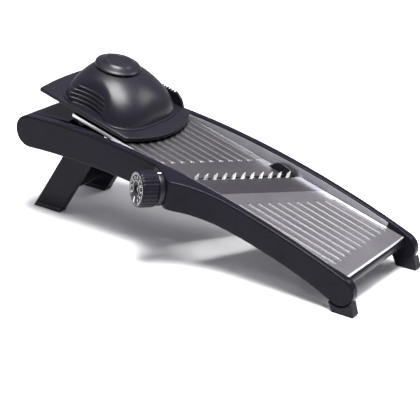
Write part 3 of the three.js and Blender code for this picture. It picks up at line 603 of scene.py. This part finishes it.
def build_output_plate():
    """The lower plate: ribs between its diagonal rear end and its rolled front lip."""
    diag = DIAG / math.cos(OUT)
    seam = -115 / math.cos(OUT)
    half = 1.7
    steps = np.array([-2.6, -2.1, -1.7, -1.3, -0.9, -0.5, -0.1, 0.3, 0.7, 1.1, 1.6, 2.3, 3.2])

    def up(y):
        return -97.7 / math.cos(OUT) + diag * y

    def low(y):
        return -17.4

    def stations(y):
        a, b = seam + diag * y, up(y)
        mids = np.linspace(b + 3.8, low(y) - 3.8, 14)
        return np.r_[a, a + 0.35, a + 6, a + 12, b + steps, mids, low(y) - steps[::-1], -11, -6, -LIP_R]

    def ribs(x, y):
        return rib_height(x, y, half, 0.10, up, low)

    plate = sheet("output_plate_skin", rib_columns(half, 50.3), stations, ribs, PLATE)
    roll = arc(-LIP_R, -LIP_R, LIP_R, 90, -150, 22) + arc(-LIP_R, -LIP_R, 0.5, -150, 90, 12)
    lip = prism("output_plate_lip", roll, -50.3, 50.3, PLATE)
    skirt = [(-60, -0.3), (-60, -1.5), (-54, -5), (-21, -5), (-18, -0.3)]
    sides = [prism("side", skirt, *sorted((s * 49.4, s * 50.4)), PLATE) for s in (-1, 1)]
    # The lip gets lighter steel than the plate it is rolled from: a painted highlight.
    piece(lip, LIP_STEEL_PAINTED_HIGHLIGHT, "base", "brushed_steel", (), 38)
    obj = join("output_plate_skin", plate, *sides)
    piece(obj, PLATE_STEEL, "base", "brushed_steel", ["output_plate"], 38)


def build_crossbar():
    """Rounded bar under the plate's lip, with a pad that carries the plate."""
    nose = bezier([(-2, -2.95), (1.6, -2.95), (2.6, -6.5), (2.4, -9.0)], 14)
    heel = bezier([(2.4, -9.0), (2.2, -10.8), (0.6, -11.2), (-3, -11.2)], 14)
    tail = bezier([(-12, -10), (-17, -10), (-17, -3), (-15, -2.95)], 14)
    outline = [tuple(p) for p in nose] + [tuple(p) for p in heel[1:]] + [tuple(p) for p in tail]
    bar = prism("bar", outline, -51.3, 51.3, PLATE)
    rounded(bar, 0.3, 2)
    pad = block("pad", (-15, -49, -4), (-6, 49, -1.5), PLATE)
    obj = join("front_crossbar_skin", bar, pad)
    piece(obj, SATIN, "base", "satin_black", ["front_crossbar"], 40)


def build_ramp():
    """The upper plate: wide ribs, a diagonal front end with a square corner, and folded edges."""
    diag = DIAG / math.cos(IN)
    half = 3.15
    corner = 43
    steps = np.array([-4.2, -3.4, -2.9, -2.4, -1.9, -1.4, -0.9, -0.4, 0.1, 0.7, 1.4, 2.2, 3.2, 4.4, 5.6])

    def along(x):
        return (x - RAMP_REAR) / math.cos(IN)

    def up(y):
        return 9.0

    def low(y):
        return along(-180.8) + diag * y

    def stations(y):
        front = along(-151) + diag * y
        if y > corner:
            front = 172.5 + 0.001 * (y - corner)
        end = min(low(y), front - 5.5)
        rib_start = up(y) + np.array([-1.5, 0, 0.6, 1.2, 2, 3, 4.2, 6, 9])
        mids = np.linspace(24, end - 8, 16)
        tail = np.linspace(end + 4.4, front, 5)[1:]
        return np.r_[0, 1.5, 5, rib_start, mids, end - steps[::-1], tail]

    def ribs(x, y):
        return rib_height(x, y, half, 0.62, up, low)

    ys = rib_columns(half, 50.4)
    ys = np.sort(np.r_[ys[np.abs(ys - corner) > 0.3], corner - 0.02, corner + 0.02])
    plate = sheet("input_ramp_skin", ys, stations, ribs, RAMP)
    fold = arc(0.9, -0.9, 0.9, 90, 180, 8) + [(0, -3.2), (1, -3.2), (1, -1.0), (1.2, -0.3)]
    rear = prism("rear", fold, -50.4, 50.4, RAMP)
    obj = join("input_ramp_skin", plate, rear)
    piece(obj, RAMP_STEEL, "ramp", "brushed_steel", ["input_ramp"], 38)
    side = [(0, 0.02), (0, -3.2), (100, -3.2), (106, -1.2), (150, -1.2), (150, 0.02)]
    # The near edge gets near-white steel, the far edge the ramp's own steel: a painted highlight on the near
    # edge.
    for word, mat, slot, y0, y1 in (("near", EDGE_STEEL_PAINTED_HIGHLIGHT, "bright_steel", -50.5, -49.4),
                                    ("far", RAMP_STEEL, "brushed_steel", 49.4, 50.5)):
        edge = prism(f"input_ramp_edge_{word}", side, y0, y1, RAMP)
        rounded(edge, 0.35, 3)
        piece(edge, mat, "ramp", slot, (), 50)


# ------------------------------------------------------------------ comb and its carrier
BLADE_EDGE = -141 / math.cos(OUT)
COMB_DIAG = DIAG / math.cos(OUT)
COMB_FRONT = BLADE_EDGE - 10.2
TOOTH_PITCH, TOOTH_SHIFT, TOOTH_COUNT = 8.4, 0.6, 11
TOOTH_HALF = 0.45


def build_comb_carrier():
    """Bar under the comb, with the grip tab at its left end."""
    bar = block("bar", (BLADE_EDGE - 24, -44.3, -17), (COMB_FRONT, 45.6, -11.3), PLATE, COMB_DIAG)
    rounded(bar, 0.8)
    outline = [(-123, -14)] + [(-135.5 + 12.5 * math.cos(a), -2 + 8 * math.sin(a))
                               for a in np.linspace(0, math.pi, 40)] + [(-148, -14)]
    tab = prism("tab", outline, 43.6, 46.4, PLATE)
    rounded(tab, 0.9, 4)
    obj = join("comb_carrier_skin", bar, tab)
    piece(obj, SATIN, "comb", "satin_black", ["comb_carrier"], 34)


def build_comb():
    """Strip with a row of thin teeth, each bent up and ground to a slanted point."""
    strip = block("strip", (BLADE_EDGE - 21, -44.3, -11), (COMB_FRONT, 43.2, -10), PLATE, COMB_DIAG)
    rounded(strip, 0.15, 2)
    side = [(-14, -10.9), (-8, -10.9), (-3.8, -4), (-3.8, 1.2), (-4.1, 4.5),
            (-4.5, 4.5), (-6.9, 0.8), (-7.3, -3.5), (-9.6, -9.2), (-14, -10.1)]
    parts = [strip]
    for i in range(TOOTH_COUNT):
        y = (i - TOOTH_COUNT // 2) * TOOTH_PITCH + TOOTH_SHIFT
        outline = [(BLADE_EDGE + COMB_DIAG * y + a, b) for a, b in side]
        tooth = prism("tooth", outline, y - TOOTH_HALF, y + TOOTH_HALF, PLATE)
        rounded(tooth, 0.16, 2)
        parts.append(tooth)
    obj = join("julienne_comb_skin", *parts)
    # The teeth get near-white steel: a painted sheen.
    piece(obj, TOOTH_STEEL_PAINTED_SHEEN, "comb", "bright_steel", ["julienne_comb"], 40)


# ------------------------------------------------------------------ dial
FLUTES = 26
FACE_TOP = 22.3
MARK_LOW, MARK_HIGH = FACE_TOP - 0.02, FACE_TOP + 0.04
SCALE_HALF = 135
TICKS, DIGITS = 40, 10


def build_knob():
    """Fluted knob with a recess for the printed face. The rows give height, radius and flute depth."""
    n = FLUTES * 12
    ang = np.linspace(0, 2 * math.pi, n, endpoint=False)
    wave = 0.5 + 0.5 * np.cos(FLUTES * ang)
    wall = [(5.8, 16.0, 0.2), (6.2, 16.7, 0.3), (6.9, 17.1, 0.45), (8.5, 17.3, 0.5), (14, 17.35, 0.5),
            (19.6, 17.4, 0.5), (20.8, 17.3, 0.45), (21.6, 17.0, 0.3), (22.15, 16.6, 0.1), (22.4, 16.1, 0)]
    recess = [(22.4, 15.7, 0), (22.2, 15.6, 0), (21.5, 15.55, 0), (21.45, 12, 0),
              (21.45, 4.0, 0), (21.3, 3.85, 0), (18.8, 3.8, 0)]
    rings = []
    for h, base, depth in wall + recess:
        r = base - depth * (1 - wave ** 0.6)
        rings.append(np.c_[r * np.cos(ang), r * np.sin(ang), np.full(n, h)])
    pts, faces = closed_loft(rings)
    obj = mesh_object("dial_knob_skin", pts, faces, DIAL)
    shaft_bore = turned("t", [(0, 4), (3.25, 4), (3.25, 17.3), (1.8, 17.3), (1.8, 20), (0, 20)], DIAL, 32)
    boolean(obj, shaft_bore)
    piece(obj, KNOB, "dial", "gloss_black", ["dial_knob"], 42)


def flat_ring(r0, r1, h0, h1, a0, a1, n):
    """Part of a flat ring between two radii, two heights and two angles from the dial's top."""
    t = np.linspace(a0, a1, n)
    pts, faces = [], []
    for a in t:
        for r, h in ((r0, h0), (r1, h0), (r1, h1), (r0, h1)):
            pts.append((r * math.sin(a), r * math.cos(a), h))
    for i in range(n - 1):
        for j in range(4):
            a, b = i * 4 + j, i * 4 + (j + 1) % 4
            faces.append((a, b, b + 4, a + 4))
    faces += [(3, 2, 1, 0), tuple((n - 1) * 4 + j for j in range(4))]
    return pts, faces


def digit(text, size, r, angle, h):
    """One raised figure on the dial, at the radius r and the angle from the dial's top."""
    curve = bpy.data.curves.new("digit", "FONT")
    curve.body = text
    curve.size = size / 1000
    curve.align_x = "CENTER"
    curve.align_y = "CENTER"
    curve.extrude = 0.00003
    curve.offset = 0.00006
    obj = bpy.data.objects.new("digit", curve)
    bpy.context.scene.collection.objects.link(obj)
    bpy.context.view_layer.update()
    mesh = bpy.data.meshes.new_from_object(obj.evaluated_get(bpy.context.evaluated_depsgraph_get()))
    bpy.data.objects.remove(obj)
    bpy.data.curves.remove(curve)
    basis, origin = DIAL
    turn = Matrix(basis.T.tolist()).to_4x4()
    place = Matrix.Translation(Vector(metres([origin])[0])) @ turn
    spot = Vector((r * math.sin(angle) / 1000, r * math.cos(angle) / 1000, h / 1000))
    mesh.transform(place @ Matrix.Translation(spot) @ Matrix.Rotation(-angle, 4, "Z"))
    out = bpy.data.objects.new("digit", mesh)
    bpy.context.scene.collection.objects.link(out)
    return out


def build_dial_face():
    """Disc with a printed scale of ticks and plain figures, an inner arc, a rim ring and a bar in the gap."""
    disc = [(3.9, 21.7), (15.2, 21.7), (15.3, 21.8), (15.3, 22.2), (15.1, FACE_TOP), (4.1, FACE_TOP),
            (3.9, 22.2), (3.9, 21.7)]
    face = turned("dial_face_skin", disc, DIAL, 96)
    piece(face, MATT, "dial", "satin_black", ["dial_face"], 30)
    marks = []
    low, high = MARK_LOW, MARK_HIGH
    for k in range(TICKS):
        a = math.radians(-SCALE_HALF + 2 * SCALE_HALF * k / (TICKS - 1))
        long = k % 3 == 0
        w = 0.022 if long else 0.014
        pts, faces = flat_ring(12.6 if long else 13.3, 14.6, low, high, a - w, a + w, 3)
        marks.append(mesh_object("tick", pts, faces, DIAL))
    for k in range(DIGITS):
        a = math.radians(-SCALE_HALF + 2 * SCALE_HALF * k / (DIGITS - 1))
        marks.append(digit(str(k), 3.9, 10.4, a, FACE_TOP + 0.01))
    for r0, r1, a0, a1 in ((7.3, 7.7, -2.36, 2.36), (14.75, 14.95, 0, 2 * math.pi)):
        pts, faces = flat_ring(r0, r1, low, high, a0, a1, 120)
        marks.append(mesh_object("ring", pts, faces, DIAL))
    pts, faces = flat_ring(8.2, 14.4, low, high, math.pi - 0.10, math.pi + 0.10, 4)
    marks.append(mesh_object("lock", pts, faces, DIAL))
    obj = join("dial_marks", *marks)
    piece(obj, PRINT, "dial", "dial_print", (), 30)


def build_collar():
    """Collar under the knob, with its index mark."""
    prof = [(7, 0.3), (16.0, 0.3), (16.25, 0.5), (16.3, 0.8), (16.3, 4.6),
            (16.1, 5.1), (15.7, 5.4), (7, 5.4), (7, 0.3)]
    obj = turned("dial_collar_skin", prof, DIAL, 96)
    piece(obj, SATIN, "base", "gloss_black", ["dial_collar"], 34)
    pts = []
    for a in (-0.045, 0, 0.045):
        for r in (16.2, 16.38):
            for h in (0.9, 4.5):
                pts.append((r * math.sin(a), r * math.cos(a), h))
    faces = [(0, 1, 3, 2), (8, 10, 11, 9), (0, 4, 5, 1), (4, 8, 9, 5), (2, 3, 7, 6), (6, 7, 11, 10),
             (0, 2, 6, 4), (4, 6, 10, 8), (1, 5, 7, 3), (5, 9, 11, 7)]
    mark = mesh_object("dial_index_mark", pts, faces, DIAL)
    piece(mark, PRINT, "base", "dial_print", (), 30)


# ------------------------------------------------------------------ food holder
DOME_HALF, DOME_TOP, DOME_CUT, DOME_SHIFT = 48.5, 44.0, 42, 11.5
SCOOP_X, SCOOP_R, SCOOP_LOW, SCOOP_DEPTH, SCOOP_LEAN = 6.0, 45.0, 7.3, 41, 0.26


def squircle(cx, a, b, power, n):
    """Closed outline between an ellipse (power 2) and a rectangle (large power)."""
    t = np.linspace(0, 2 * math.pi, n, endpoint=False)
    c, s = np.cos(t), np.sin(t)
    return np.c_[cx + a * np.sign(c) * np.abs(c) ** (2 / power), b * np.sign(s) * np.abs(s) ** (2 / power)]


def dome_ring(half_len, half_wid, z, n, power=1.0):
    """Level outline of the dome at the height z. A larger power makes it round sooner on the way up."""
    t = min(max(z, 0) / DOME_TOP, 0.98)
    k = (1 - t ** 2.2) ** (1 / 2.2)
    shift = DOME_SHIFT * max(k - 0.35, 0) / 0.65
    return np.c_[squircle(shift, half_len * k, half_wid * k, 2 + 1.2 * k ** power, n), np.full(n, z)]


def dome_rings(half_len, half_wid, z0, z1, n, levels):
    """Level outlines from z0 to z1, closer together towards the top."""
    shares = [1 - (1 - i / levels) ** 1.6 for i in range(levels + 1)]
    return [dome_ring(half_len, half_wid, z0 + (z1 - z0) * share, n) for share in shares]


def scoop_depth(x, h):
    """Half width left between the finger scoops at x and height h."""
    reach = np.sqrt(np.maximum(SCOOP_R ** 2 - (x - SCOOP_X) ** 2, 0))
    return SCOOP_DEPTH + SCOOP_R - SCOOP_LEAN * (h - SCOOP_LOW) - reach


def scooped_dome():
    """Dome with the two scoops sunk into it; their rims are rolled over."""
    n = 480
    low = np.array([3.4, 5.0, 6.5, 7.25, 7.3])
    floor = 7.36
    heights = np.r_[low, floor + (DOME_CUT - floor) * (1 - (1 - np.linspace(0, 1, 90)) ** 1.4)]
    rings = []
    for i, h in enumerate(heights):
        ring = dome_ring(DOME_HALF, DOME_HALF, h, n, 6.0)
        if i >= len(low):
            x, y = ring[:, 0], np.abs(ring[:, 1])
            fade = np.clip((DOME_CUT - h) / 6, 0, 1)
            sunk = np.minimum(y, soft_min(y, scoop_depth(x, h), 4.2) * fade + y * (1 - fade))
            ring[:, 1] = np.sign(ring[:, 1]) * np.where(np.abs(x - SCOOP_X) < 40, sunk, y)
        rings.append(ring)
    return closed_loft(rings)


def flange_outline(n=40, inset=0.0):
    """Flat outline with straight sides and two bowed ends."""
    half, rear, front = 50.2 - inset, -50.0, 61.0
    bow_f, bow_r = 18.0 - inset, 5.0 - inset
    rf = (half ** 2 + bow_f ** 2) / (2 * bow_f)
    rr = (half ** 2 + bow_r ** 2) / (2 * bow_r)
    af, ar = math.degrees(math.asin(half / rf)), math.degrees(math.asin(half / rr))
    pts = arc(front + bow_f - rf, 0, rf, -af, af, n)
    pts += arc(rear - bow_r + rr, 0, rr, 180 - ar, 180 + ar, n)
    return np.array(pts)


def build_shell():
    """Dome, flange, runners and thumb rest in one piece, hollowed out and bored for the plunger's rod."""
    pts, faces = scooped_dome()
    body = mesh_object("holder_shell_skin", pts, faces, HOLDER)
    rings = [np.c_[flange_outline(inset=i), np.full(80, z)] for i, z in
             [(1.0, 3.0), (0.3, 3.2), (0.0, 3.7), (0.0, 6.3), (0.25, 6.8), (0.9, 7.1)]]
    pts, faces = closed_loft(rings)
    boolean(body, mesh_object("f", pts, faces, HOLDER), "UNION")
    base = [np.c_[squircle(DOME_SHIFT, DOME_HALF + g, DOME_HALF + min(g, 1.2), 3.2, 160), np.full(160, z)]
            for g, z in [(1.6, 5.5), (1.6, 7.5), (1.45, 7.9), (1.0, 8.1), (-1.0, 8.3)]]
    pts, faces = closed_loft(base)
    boolean(body, mesh_object("b", pts, faces, HOLDER), "UNION")
    for s in (-1, 1):
        lo, hi = sorted((s * 41.5, s * 44.5))
        boolean(body, block("r", (-40, lo, 1.8), (40, hi, 4.6), HOLDER), "UNION")
    pts, faces = closed_loft(dome_rings(45, 38, 0, 39, 96, 28))
    boolean(body, mesh_object("h", pts, faces, HOLDER))
    boolean(body, thumb_rest(), "UNION")
    boolean(body, turned("t", [(0, 30), (4.9, 30), (4.9, 50), (0, 50)], HOLDER, 48))
    piece(body, SATIN, "holder", "satin_black", ["holder_shell"], 28)


def thumb_rest():
    """Upright plate on the flange's left edge, with saw teeth and a sloping shoulder in front."""
    x, top, tooth, pitch, teeth = 15.0, 17.2, 2.2, 3.4, 7
    points = [(x, 3.5)]
    for i in range(teeth):
        a = x + i * pitch
        points += [(a, top), (a + 1.2, top), (a + 2, top + tooth), (a + 2.9, top + tooth)]
    end = x + teeth * pitch
    points += [(end, top), (end + 1.4, top + 0.4), (end + 2.4, top + tooth)]
    shoulder = bezier([(end + 2.4, top + tooth), (end + 7.6, top + 1.2),
                       (end + 13.0, top - 3.6), (end + 15.4, top - 10)], 16)
    points += [tuple(p) for p in shoulder[1:]] + [(end + 16.6, 3.5)]
    return prism("rest", points, 46.9, 49.6, HOLDER)


def build_grip(side):
    """Ridges that follow the wall of a finger scoop, each with a rounded lip along its top."""
    parts = []
    ridges = ((8.6, -14, 26), (12.6, -17, 25), (16.8, -18, 24), (21.0, -17, 22.5), (25.2, -13, 20))
    loop = [(0.25, -0.9), (-0.5, -0.9), (-1.25, -0.45), (-1.5, 0.0), (-1.25, 0.4), (-0.6, 0.6), (0.25, 0.6)]
    for h0, x0, x1 in ridges:
        xs = np.linspace(x0, x1, 44)
        ends = np.clip(np.minimum(xs - x0, x1 - xs) / 3.0, 0, 1) ** 0.5
        rings = []
        for x, e in zip(xs, ends):
            section = []
            for out, up in loop:
                h = h0 + up
                depth = scoop_depth(np.array(x), h) - (out if out > 0 else out * max(e, 0.05))
                section.append((x, side * depth, h))
            rings.append(np.array(section))
        pts, faces = closed_loft(rings)
        parts.append(mesh_object("ridge", pts, faces, HOLDER))
    word = "left" if side > 0 else "right"
    obj = join(f"grip_ridges_{word}", *parts)
    piece(obj, SATIN, "holder", "satin_black", [f"grip_pad_{word}"], 40)


def build_cap():
    """Round cap: hollow below, a sloping brim, a raised ring and a shallow dish inside it."""
    under = [(4.8, 42.5), (8, 42.5), (8, 44), (19.3, 43.2), (20.2, 41.8), (22.0, 41.75), (22.45, 42.0)]
    brim = [(22.6, 42.5), (22.55, 43.0), (22.1, 43.6), (21.0, 44.2), (18.8, 45.1), (16.4, 45.9)]
    ring = [(15.0, 46.6), (14.1, 47.3), (13.3, 47.75), (12.6, 47.75), (12.0, 47.5)]
    dish = [(11.0, 47.0), (9.5, 46.8), (6, 46.7), (0, 46.65), (0, 45.0), (4.8, 45.0), (4.8, 42.5)]
    obj = turned("holder_cap_skin", under + brim + ring + dish, HOLDER, 128)
    piece(obj, SATIN, "plunger", "satin_black", ["holder_cap"], 30)


# ------------------------------------------------------------------ build everything
for s in (-1, 1):
    build_rail(s)
    build_liner(s, "rear")
    build_liner(s, "front")
    build_grip(s)
build_output_plate()
build_ramp()
build_comb_carrier()
build_comb()
build_crossbar()
build_knob()
build_dial_face()
build_collar()
build_shell()
build_cap()

finish_node("rear_handle", GLOSS, 1.2, 30, 3)
finish_node("blade", BLADE_STEEL, 0.1)
finish_node("blade_bridge", MATT, 0.5)
finish_node("ramp_carrier", MATT, 0.2)
for word in ("right", "left"):
    finish_node(f"front_foot_{word}", MATT, 0.8)
    finish_node(f"stand_leg_{word}", GLOSS, 1.0, 30, 3)
    finish_node(f"stand_pad_{word}", RUBBER, 0.6)
    finish_node(f"stand_spacer_{word}", SATIN, 0.3)
finish_node("stand_crossbar", SATIN, 1.0)
for name in ("dial_bush", "dial_cam", "prong_disc"):
    finish_node(name, SATIN)
for name in ("ramp_hinge_pin", "stand_pivot_rod", "dial_shaft", "cam_retaining_ring", "dial_screw",
             "plunger_rod", "disc_screw", "blade_screw_1", "blade_screw_2", "blade_screw_3",
             "handle_screw_right_1", "handle_screw_right_2", "handle_screw_left_1", "handle_screw_left_2"):
    finish_node(name, FASTENER)


# ------------------------------------------------------------------ camera, floor and light
CAMERA_AT = (477.98, -904.22, 512.38)
CAMERA_AZIMUTH, CAMERA_ELEVATION = math.radians(36.215), math.radians(23.295)
CAMERA_LENS = 107.97


def set_camera():
    cam = bpy.data.cameras.new("camera")
    cam.lens = CAMERA_LENS
    cam.sensor_width = 36
    cam.clip_end = 20
    obj = bpy.data.objects.new("camera", cam)
    az, el = CAMERA_AZIMUTH, CAMERA_ELEVATION
    back = Vector((math.sin(az) * math.cos(el), -math.cos(az) * math.cos(el), math.sin(el)))
    right = Vector((math.cos(az), math.sin(az), 0))
    up = back.cross(right)
    rot = Matrix((right, up, back)).transposed().to_4x4()
    obj.matrix_world = Matrix.Translation(Vector(metres([CAMERA_AT])[0])) @ rot
    bpy.context.scene.collection.objects.link(obj)
    bpy.context.scene.camera = obj


def set_floor():
    half, level = 6, -0.0002
    mesh = bpy.data.meshes.new("floor")
    mesh.from_pydata([(x, y, level) for x, y in ((-half, -half), (half, -half), (half, half), (-half, half))],
                     [], [(0, 1, 2, 3)])
    obj = bpy.data.objects.new("floor", mesh)
    bpy.context.scene.collection.objects.link(obj)
    mat, nt, bsdf = nodes_of("floor_white")
    clouds = noise(nt, coords(nt, (1, 1, 1)), 3.0)
    link(nt, blend_colour(nt, clouds, (0.86, 0.86, 0.86), (0.90, 0.90, 0.90)), bsdf.inputs["Base Color"])
    bsdf.inputs["Roughness"].default_value = 0.55
    obj.data.materials.append(mat)


def area(name, place, aim, size, power):
    light = bpy.data.lights.new(name, "AREA")
    light.shape = "RECTANGLE"
    light.size, light.size_y = size
    light.energy = power
    obj = bpy.data.objects.new(name, light)
    obj.location = place
    direction = Vector(aim) - Vector(place)
    obj.rotation_euler = direction.to_track_quat("-Z", "Y").to_euler()
    bpy.context.scene.collection.objects.link(obj)


def place_at(target, direction, distance):
    return tuple(t + distance * d for t, d in zip(target, direction))


def set_light():
    world = bpy.data.worlds.new("studio")
    world.use_nodes = True
    bg = world.node_tree.nodes["Background"]
    bg.inputs["Color"].default_value = (0.93, 0.90, 1.0, 1)
    bg.inputs["Strength"].default_value = 0.4
    bpy.context.scene.world = world
    dome = tuple(metres(local(HOLDER, [(12, 0, 20)]))[0])
    distance = 1.3
    area("key", place_at(dome, (0.22, -0.10, 0.92), distance), dome, (0.66, 0.66), 54)
    area("side", place_at(dome, (0.54, 0.60, 0.60), distance), dome, (0.50, 0.50), 7)
    area("ceiling", (0.1, 0.0, 2.2), (0.05, 0, 0), (2.4, 2.4), 8)


set_camera()
set_floor()
set_light()
bpy.context.scene.view_settings.view_transform = "Standard"
